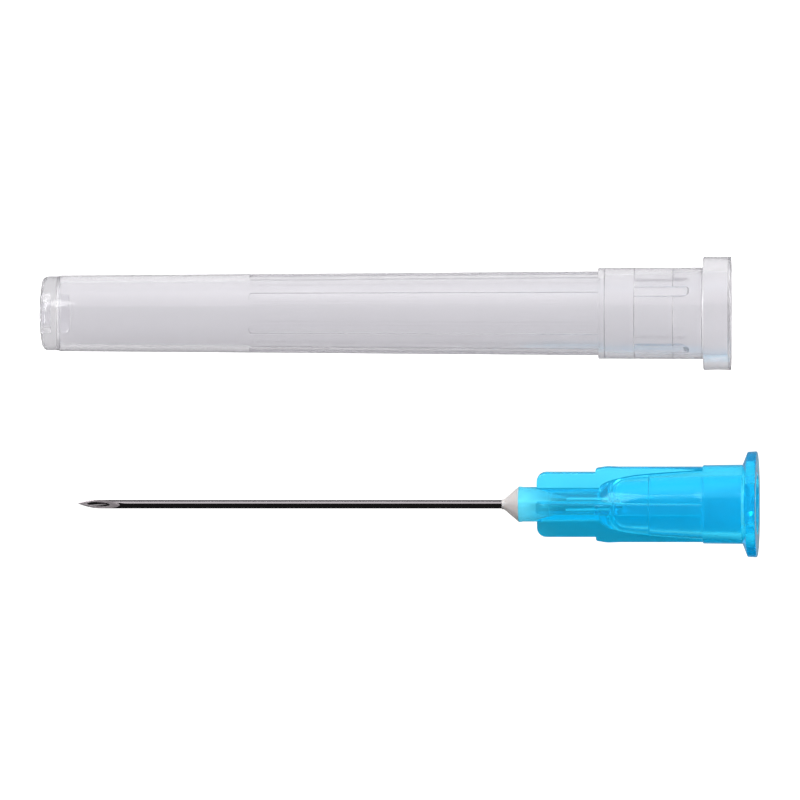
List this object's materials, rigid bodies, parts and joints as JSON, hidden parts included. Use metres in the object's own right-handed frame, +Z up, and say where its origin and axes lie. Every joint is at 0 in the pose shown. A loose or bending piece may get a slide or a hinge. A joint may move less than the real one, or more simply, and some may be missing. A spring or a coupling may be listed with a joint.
{
  "type": "hypodermic needle",
  "caption": "Hypodermic needle lying beside its protective cap: steel cannula with a ground point, bonded in a finned plastic hub with a conical socket.",
  "frame": {"origin": "bottom centre of the box round the needle and its cap, as they lie", "axes": "+X from the needle's point to the open rear of its hub, +Y from the needle to the cap beside it, +Z up"},
  "size_m": [0.0526, 0.022, 0.0083],
  "materials": {
    "hub_plastic": "translucent cyan blue, moulded and smooth",
    "cannula_steel": "drawn stainless tube with a ground point",
    "adhesive_resin": "off-white cured resin",
    "cap_plastic": "milky translucent, moulded and smooth"
  },
  "bodies": {
    "root": {"needle_hub": "hub_plastic", "cannula": "cannula_steel", "adhesive": "adhesive_resin", "protective_cap": "cap_plastic"}
  },
  "joints": []
}
